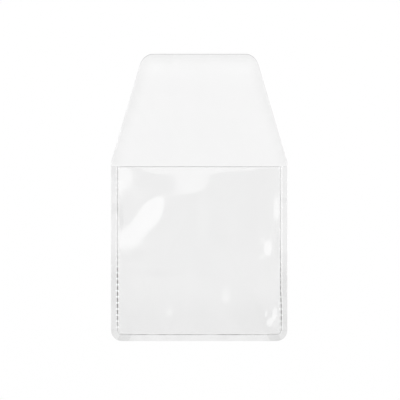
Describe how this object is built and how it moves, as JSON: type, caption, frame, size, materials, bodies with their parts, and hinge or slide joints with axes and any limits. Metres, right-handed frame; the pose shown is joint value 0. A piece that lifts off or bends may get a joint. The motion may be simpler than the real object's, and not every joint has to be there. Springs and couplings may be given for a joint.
{
  "type": "coin holder flip",
  "caption": "Clear soft-plastic pocket for a coin, with a knurled weld along its edges and a tapered flap that folds over to close it.",
  "frame": {"origin": "middle of the open outline, on the underside of the rear film, which lies on the table", "axes": "+X to the right as seen from the front, +Y from the pocket towards the tip of the open flap, +Z out of the front film"},
  "size_m": [0.05, 0.0814, 0.0015],
  "materials": {
    "clear_film": "clear, smooth, glossy",
    "welded_film": "clear, pressed, faintly hazy"
  },
  "bodies": {
    "pouch": {"rear_sheet": "clear_film", "front_sheet": "clear_film", "left_weld": "welded_film", "right_weld": "welded_film", "bottom_weld": "welded_film", "fold_strip": "clear_film"},
    "flap": {"flap": "clear_film"}
  },
  "joints": [
    {"name": "flap_fold", "type": "hinge", "parent": "pouch", "child": "flap", "pos_m": [0, 0.01021, 0.001], "axis": [1, 0, 0], "range_deg": [0, 180], "stiffness_Nm_per_rad": 0.0002}
  ]
}
